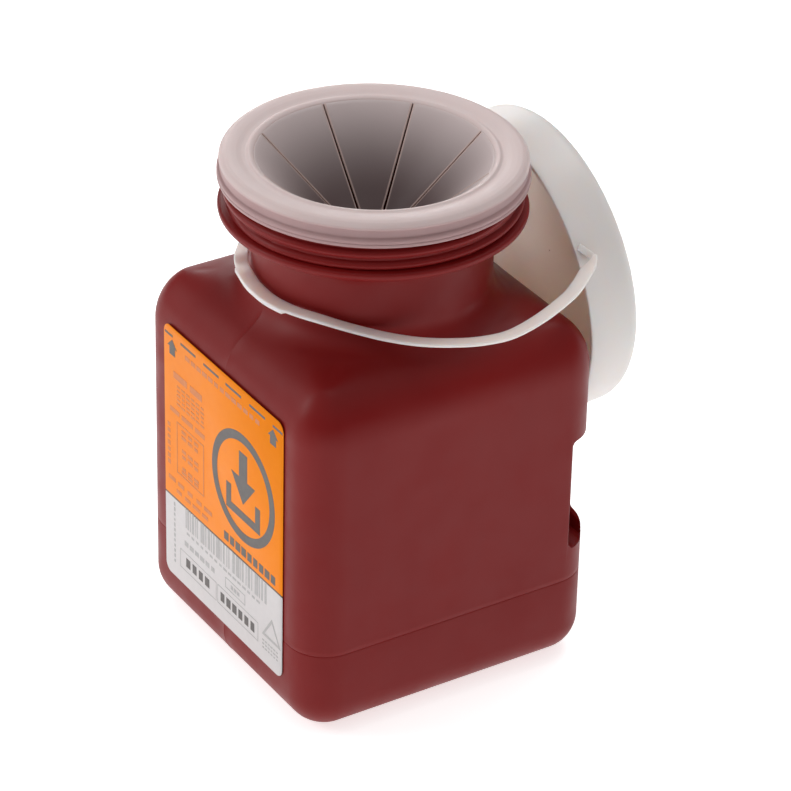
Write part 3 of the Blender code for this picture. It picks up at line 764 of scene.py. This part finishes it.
def milky_polyethylene():
    """Pale on top; down the thin side the colour is painted darker and pinker, a painted shade with the red
    lip's show-through painted in.
    """
    made, nodes, links, shader, place, clouds = plastic(
        "natural_polyethylene", (0.42, 0.56), 1300.0, 60.0, 0.008 * MM, 0.12 * MM, Transmission_Weight=0.22,
        IOR=1.45, Subsurface_Weight=0.25, Subsurface_Radius=(0.0012, 0.0009, 0.0008), Subsurface_Scale=1.0)
    axes = nodes.new("ShaderNodeSeparateXYZ")
    links.new(place, axes.inputs["Vector"])
    top_share_above_painted_side = ranged(nodes, links, axes.outputs["Z"], 0.0, 1.0, 182.0 * MM, 183.2 * MM)
    # Painted shade: the side colour is a darker, pinker copy of the top, standing in for shade and the red lip
    # seen through the thin wall
    side = blended(nodes, links, clouds, (0.50, 0.315, 0.315), (0.56, 0.36, 0.36))
    top = blended(nodes, links, clouds, (0.84, 0.68, 0.665), (0.89, 0.735, 0.715))
    links.new(blended(nodes, links, top_share_above_painted_side, side, top), shader.inputs["Base Color"])
    return made


def rounded_profile(points, radius=0.35, steps=4):
    """A closed outline with each corner turned into a small arc, in millimetres."""
    made = []
    count = len(points)
    for i, (x, y) in enumerate(points):
        before, after = Vector(points[i - 1]), Vector(points[(i + 1) % count])
        here = Vector((x, y))
        one, two = before - here, after - here
        reach = min(radius, 0.42 * one.length, 0.42 * two.length)
        start, end = here + one.normalized() * reach, here + two.normalized() * reach
        for k in range(steps + 1):
            t = k / steps
            made.append(start * (1 - t) ** 2 + here * 2 * t * (1 - t) + end * t * t)
    return made


def turned(name, profile, finish, sharp=35.0):
    rings = [round_ring(ALL_ROUND, p.x * MM, p.y * MM) for p in profile]
    made = add_piece(name, *skinned(rings, closed=True), finish, sharp)
    outward(made)
    shade(made, sharp)
    return made


MILKY = milky_polyethylene()
RING_PROFILE = [  # radius and height in millimetres: over the top, down the side, and back up round the lip
    (39.35, 183.1), (39.9, 183.75), (40.7, 184.15), (41.4, 184.25), (41.9, 183.95), (42.4, 183.8),
    (43.6, 183.95), (45.4, 184.4), (47.2, 184.65), (48.8, 184.7), (50.0, 184.4), (50.8, 183.7),
    (51.25, 182.9), (51.3, 182.2), (50.9, 181.85), (50.9, 179.35), (51.5, 179.05), (51.9, 178.5),
    (51.9, 177.75), (51.72, 177.55), (51.72, 177.35), (51.9, 177.15), (51.9, 176.4), (51.5, 175.9),
    (49.6, 175.9), (49.1, 176.4), (49.1, 182.0), (46.2, 182.0), (46.2, 177.2), (45.6, 176.6),
    (44.9, 177.2), (44.6, 182.0), (43.4, 181.6), (41.9, 181.9)]
funnel_ring = turned("funnel_collar", rounded_profile(RING_PROFILE, 0.3), MILKY, 60.0)
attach(funnel_ring, "bottle")
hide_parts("funnel_ring")

# ----------------------------------------------------------------------------------------------- flaps
# Eight springy flaps, moulded in one with the ring and parted by narrow slits. Sharps push between them, and
# they close the way back out. One flap is made, and a node tree turns it to each of its eight places.

FLAP_COUNT = 8
FLAP_PHASE = math.radians(39.0)
FUNNEL_INNER, FUNNEL_INNER_Z = 39.2 * MM, 183.2 * MM
FLAP_DROP = 0.93
FLAP_TIP_RADIUS = 9.0 * MM
FLAP_THICKNESS = 1.0 * MM
SLIT_AT_ROOT, SLIT_AT_TIP = 0.45 * MM, 0.9 * MM


def flap_sheet():
    """The upper face of one flap, pointing along +X, thickened downwards and with its edges rounded."""
    root = FUNNEL_INNER + 0.25 * MM
    rows, columns = 30, 14
    verts, faces = [], []
    for row in range(rows + 1):
        share = row / rows
        radius = root + (FLAP_TIP_RADIUS - root) * share
        reach = math.pi / FLAP_COUNT - (SLIT_AT_ROOT + (SLIT_AT_TIP - SLIT_AT_ROOT) * share) / 2 / radius
        z = FUNNEL_INNER_Z - (FUNNEL_INNER - radius) * FLAP_DROP
        for column in range(columns + 1):
            a = reach * (2 * column / columns - 1)
            verts.append((radius * math.cos(a), radius * math.sin(a), z))
    for row in range(rows):
        for column in range(columns):
            a = row * (columns + 1) + column
            b = a + columns + 1
            faces.append((a, b, b + 1, a + 1))
    sheet = add_piece("flap_sheet", verts, faces)
    outward(sheet)
    if sum(face.normal.z for face in sheet.data.polygons) < 0:
        sheet.data.flip_normals()
    wall = sheet.modifiers.new("wall", "SOLIDIFY")
    wall.thickness = FLAP_THICKNESS
    wall.offset = -1
    edges = sheet.modifiers.new("edges", "BEVEL")
    edges.width = 0.16 * MM
    edges.segments = 2
    edges.limit_method = "ANGLE"
    edges.angle_limit = math.radians(40)
    finished(sheet)
    return sheet


def turning_tree():
    tree = bpy.data.node_groups.new("flap_places", "GeometryNodeTree")
    add_sockets(tree, "INPUT", ("Geometry", "Geometry"), ("Turn", "Float"), ("Finish", "Material"))
    add_sockets(tree, "OUTPUT", ("Geometry", "Geometry"))
    nodes, links = tree.nodes, tree.links
    inputs, outputs = nodes.new("NodeGroupInput"), nodes.new("NodeGroupOutput")
    centre = nodes.new("GeometryNodeMeshLine")
    centre.inputs["Count"].default_value = 1
    turn = nodes.new("ShaderNodeCombineXYZ")
    links.new(inputs.outputs["Turn"], turn.inputs["Z"])
    placed = nodes.new("GeometryNodeInstanceOnPoints")
    links.new(centre.outputs["Mesh"], placed.inputs["Points"])
    links.new(inputs.outputs["Geometry"], placed.inputs["Instance"])
    links.new(turn.outputs["Vector"], placed.inputs["Rotation"])
    real = nodes.new("GeometryNodeRealizeInstances")
    links.new(placed.outputs["Instances"], real.inputs["Geometry"])
    painted = nodes.new("GeometryNodeSetMaterial")
    links.new(real.outputs["Geometry"], painted.inputs["Geometry"])
    links.new(inputs.outputs["Finish"], painted.inputs["Material"])
    links.new(painted.outputs["Geometry"], outputs.inputs["Geometry"])
    return tree


def flap_polyethylene():
    """The same plastic, with a painted shade that darkens the flaps towards their tips, deep in the funnel, in
    place of the shade there and the dark inside of the bottle seen through them.
    """
    made, nodes, links, shader, place, clouds = plastic(
        "flap_polyethylene", (0.30, 0.44), 1300.0, 60.0, 0.008 * MM, 0.12 * MM, Transmission_Weight=0.30,
        IOR=1.45, Specular_IOR_Level=0.35)
    axes = nodes.new("ShaderNodeSeparateXYZ")
    links.new(place, axes.inputs["Vector"])
    across = calculated(nodes, links, "MULTIPLY", axes.outputs["X"], axes.outputs["X"])
    squared = calculated(nodes, links, "MULTIPLY_ADD", axes.outputs["Y"], axes.outputs["Y"], across)
    spread = calculated(nodes, links, "SQRT", squared)
    shade_fades_outwards = ranged(nodes, links, spread, 0.0, 1.0, 15.0 * MM, 39.0 * MM)
    shade_fades_outwards = calculated(nodes, links, "POWER", shade_fades_outwards, 1.7)
    # Painted shade: the colour darkens towards the tips, in the depth of the funnel
    deep = blended(nodes, links, clouds, (0.115, 0.072, 0.072), (0.150, 0.098, 0.096))
    tone = blended(nodes, links, shade_fades_outwards, deep, (0.84, 0.71, 0.70))
    # A painted highlight: the colour is painted lighter along the rounded edges of the slits
    turn = calculated(nodes, links, "ARCTAN2", axes.outputs["Y"], axes.outputs["X"])
    turn = calculated(nodes, links, "SUBTRACT", turn, FLAP_PHASE)
    turn = calculated(nodes, links, "PINGPONG", turn, math.pi / FLAP_COUNT)
    to_slit = calculated(nodes, links, "MULTIPLY", turn, spread)
    slit_edge_painted_highlight = ranged(nodes, links, to_slit, 0.75, 0.0, 0.55 * MM, 1.0 * MM)
    links.new(blended(nodes, links, slit_edge_painted_highlight, tone, (0.80, 0.58, 0.52)), shader.inputs["Base Color"])
    return made


TRANSLUCENT_WITH_PAINTED_SHADE = flap_polyethylene()
FLAP_PLACES = turning_tree()
sheet = flap_sheet()
for number in range(FLAP_COUNT):
    flap = bpy.data.objects.new(f"flap_{number + 1}", sheet.data.copy())
    scene.collection.objects.link(flap)
    turning = flap.modifiers.new("turn", "NODES")
    turning.node_group = FLAP_PLACES
    for item in FLAP_PLACES.interface.items_tree:
        if item.name == "Turn":
            turning[item.identifier] = FLAP_PHASE + math.tau * (number + 0.5) / FLAP_COUNT
        if item.name == "Finish":
            turning[item.identifier] = TRANSLUCENT_WITH_PAINTED_SHADE
    finished(flap)
    shade(flap, 50.0)
    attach(flap, f"flap_{number + 1}")
    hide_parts(f"funnel_flap_{number + 1}")
bpy.data.objects.remove(sheet, do_unlink=True)

# ------------------------------------------------------------------------------------------------- cap
# Injection-moulded in white polypropylene: a plain skirt with a rounded top edge, a coarse thread and a
# sealing ring inside. It hangs on its side behind the neck, open side to the bottle.

CAP_RADIUS = 53.75 * MM
CAP_HEIGHT = 20.2 * MM
CAP_WALL = 2.0 * MM
CAP_EDGE_RADIUS = 5.0 * MM
CAP_CENTRE = Vector((-5.3, 57.7, 122.2)) * MM
CAP_PLACE = (Matrix.Translation(CAP_CENTRE) @ Matrix.Rotation(-math.radians(0.7), 4, "Z")
             @ Matrix.Rotation(math.radians(5.4) - math.pi / 2, 4, "X"))


def white_polypropylene():
    made, nodes, links, shader, place, clouds = plastic(
        "white_polypropylene", (0.34, 0.48), 1500.0, 45.0, 0.007 * MM, 0.14 * MM, Subsurface_Weight=0.75,
        Subsurface_Radius=(0.0055, 0.0038, 0.0030), Subsurface_Scale=1.0)
    tone = blended(nodes, links, clouds, (0.84, 0.75, 0.72), (0.88, 0.79, 0.76))
    links.new(tone, shader.inputs["Base Color"])
    return made


def cap_shell():
    """Its profile runs from the open rim up the outside, over the top and back down inside."""
    def ring(radius, z):
        return round_ring(ALL_ROUND, radius, z)

    inner, top = CAP_RADIUS - CAP_WALL, CAP_HEIGHT
    rings = [ring(CAP_RADIUS - 0.30 * MM, 0.0), ring(CAP_RADIUS - 0.09 * MM, 0.09 * MM)]
    rings += [ring(CAP_RADIUS, z * MM) for z in (0.3, 1.5, 5.0, 10.0)]
    for step in range(13):
        a = math.pi / 2 * step / 12
        rings.append(ring(CAP_RADIUS - CAP_EDGE_RADIUS * (1 - math.cos(a)),
                          top - CAP_EDGE_RADIUS * (1 - math.sin(a))))
    rings += [ring(r * MM, top - sink * MM) for r, sink in
              ((46.0, 0.0), (44.0, 0.03), (43.6, 0.16), (43.2, 0.3), (42.6, 0.35), (30.0, 0.35), (15.0, 0.35),
               (4.0, 0.35), (1.6, 0.4), (1.2, 0.6), (0.3, 0.62))]
    ceiling = top - CAP_WALL
    inside = [ring(r * MM, ceiling) for r in (0.3, 15.0, 30.0, 42.0, 44.8)]
    # The sealing ring that bears on the bottle's lip
    inside += [ring(r * MM, ceiling - h * MM) for r, h in
               ((45.3, 0.1), (45.5, 0.5), (45.6, 2.2), (45.9, 2.5), (46.2, 2.2), (46.4, 0.5), (46.8, 0.1))]
    inside += [ring(r, ceiling - h * MM) for r, h in ((inner - 1.6 * MM, 0.0), (inner - 0.6 * MM, 0.3),
                                                      (inner - 0.15 * MM, 0.9), (inner, 1.8))]
    threaded = thread_rings(ALL_ROUND, 1.6 * MM, 14.4 * MM, 52, inner, 0.4, 4.0 * MM, 1.7, -THREAD_HEIGHT)
    inside += threaded[::-1]
    inside += [ring(inner, 0.9 * MM), ring(inner + 0.25 * MM, 0.25 * MM), ring(inner + 0.6 * MM, 0.0)]
    made = add_piece("cap_shell", *skinned(rings + inside, closed=True))
    bm = bmesh.new()
    bm.from_mesh(made.data)
    bmesh.ops.transform(bm, matrix=CAP_PLACE, verts=bm.verts)
    bm.to_mesh(made.data)
    bm.free()
    outward(made)
    shade(made, 45.0)
    return made


WHITE = white_polypropylene()
cap = cap_shell()
cap.data.materials.append(WHITE)
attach(cap, "cap_hanging")
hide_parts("cap")

# ----------------------------------------------------------------------------------------------- strap
# The carrying strap is one moulding with the cap: a thin flat band that loops round the front of the neck,
# thicker in its middle for the fingers, and folds at each end into a short link on the cap's rim.

STRAP_HEIGHT, STRAP_WIDTH = 1.2 * MM, 4.7 * MM  # the band lies flat
STRAP_END_HEIGHT, STRAP_END_WIDTH = 3.0 * MM, 1.5 * MM  # and folds on edge to meet the links
FOLD_SHARE = 0.07
GRIP_GROWTH = 0.6 * MM
GRIP_START, GRIP_END, GRIP_STEP = 0.457, 0.607, 0.004  # shares of the strap's route
STRAP_ROUTE = [  # millimetres, its lower outer edge, from the right end round the front to the left end
    (44.5, 60.2, 147.2), (47.0, 58.2, 146.8), (50.1, 54.1, 146.0), (53.5, 49.3, 145.1),
    (57.3, 42.4, 144.0), (62.0, 28.5, 142.2), (63.6, 15.2, 140.4), (61.4, 4.2, 139.8),
    (56.9, -5.3, 139.6), (50.8, -13.7, 139.4), (43.3, -21.3, 139.6), (35.8, -28.9, 140.9),
    (27.9, -36.7, 142.75), (17.4, -42.7, 143.1), (7.8, -45.3, 143.1), (0.0, -46.0, 143.6),
    (-5.1, -45.7, 143.8), (-10.8, -44.7, 144.4), (-17.1, -42.9, 144.3), (-22.8, -39.9, 145.0),
    (-33.2, -31.8, 143.3), (-40.0, -25.6, 144.0), (-47.2, -15.2, 143.2), (-53.2, -3.0, 142.8),
    (-58.2, 10.0, 142.8), (-62.0, 24.0, 143.4), (-63.9, 38.0, 144.6), (-62.8, 49.0, 145.8),
    (-58.6, 56.6, 146.8), (-54.8, 60.0, 147.2)]
LINK_START, LINK_END = (29.0, 4.7), (33.6, 1.2)
LINK_WIDTH, LINK_THICKNESS = 2.3 * MM, 1.2 * MM


def spline_points(route, count):
    path = [2 * route[0] - route[1], *route, 2 * route[-1] - route[-2]]
    spans = len(route) - 1
    points = []
    for k in range(count + 1):
        along = min(k * spans / count, spans - 1e-9)
        i, t = int(along), along - int(along)
        a, b, c, d = path[i:i + 4]
        points.append(0.5 * (2 * b + (c - a) * t + (2 * a - 5 * b + 4 * c - d) * t**2
                             + (3 * b - a - 3 * c + d) * t**3))
    return points


def soft_rectangle(width, height, radius=0.35 * MM, steps=4):
    points = []
    for sx, sy, start in ((1, 1, 0), (-1, 1, 90), (-1, -1, 180), (1, -1, 270)):
        for k in range(steps + 1):
            a = math.radians(start + 90 * k / steps)
            points.append((sx * (width / 2 - radius) + radius * math.cos(a),
                           sy * (height / 2 - radius) + radius * math.sin(a)))
    return points


def strap_rings():
    path = spline_points([Vector(point) * MM for point in STRAP_ROUTE], 420)
    rings = []
    for k, point in enumerate(path):
        share = k / (len(path) - 1)
        ahead = path[min(k + 1, len(path) - 1)] - path[max(k - 1, 0)]
        outwards = Vector((-ahead.y, ahead.x, 0)).normalized()
        if outwards.dot(Vector((point.x, point.y, 0))) < 0:
            outwards = -outwards
        thicker = smoothstep(share, GRIP_START - GRIP_STEP, GRIP_START)
        thicker *= 1 - smoothstep(share, GRIP_END, GRIP_END + GRIP_STEP)
        growth = GRIP_GROWTH * thicker
        flat = smoothstep(share, 0, FOLD_SHARE) * (1 - smoothstep(share, 1 - FOLD_SHARE, 1))
        height = STRAP_END_HEIGHT + (STRAP_HEIGHT - STRAP_END_HEIGHT) * flat + growth
        width = STRAP_END_WIDTH + (STRAP_WIDTH - STRAP_END_WIDTH) * flat + growth
        rings.append([point + outwards * (a - width / 2 + growth) + Vector((0, 0, b + height / 2 - growth))
                      for a, b in soft_rectangle(width, height, 0.4 * MM)])
    return rings


strap = add_piece("strap_band", *skinned(strap_rings()), WHITE, 50.0)
outward(strap)
shade(strap, 50.0)
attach(strap, "strap")
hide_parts("handle_strap")

for side, word in ((1, "right"), (-1, "left")):
    centre = CAP_RADIUS + 0.3 * MM + LINK_THICKNESS / 2
    along_angle = math.radians(LINK_END[0] - LINK_START[0]) * centre
    along_rim = (LINK_END[1] - LINK_START[1]) * MM
    rings = []
    for k in range(13):
        share = k / 12
        angle = math.radians(LINK_START[0] + (LINK_END[0] - LINK_START[0]) * share)
        out = Vector((side * math.cos(angle), -math.sin(angle), 0))
        round_rim = Vector((-side * math.sin(angle), -math.cos(angle), 0))
        across = Vector((0, 0, 1)) * along_angle - round_rim * along_rim
        across /= math.hypot(along_angle, along_rim)
        middle = out * centre + Vector((0, 0, LINK_START[1] * MM + along_rim * share))
        rings.append([CAP_PLACE @ (middle + across * a + out * b)
                      for a, b in soft_rectangle(LINK_WIDTH, LINK_THICKNESS, 0.3 * MM)])
    link = add_piece(f"cap_link_{word}", *skinned(rings), WHITE, 50.0)
    outward(link)
    shade(link, 50.0)
    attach(link, "cap_hanging")
    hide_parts(f"strap_link_{word}")
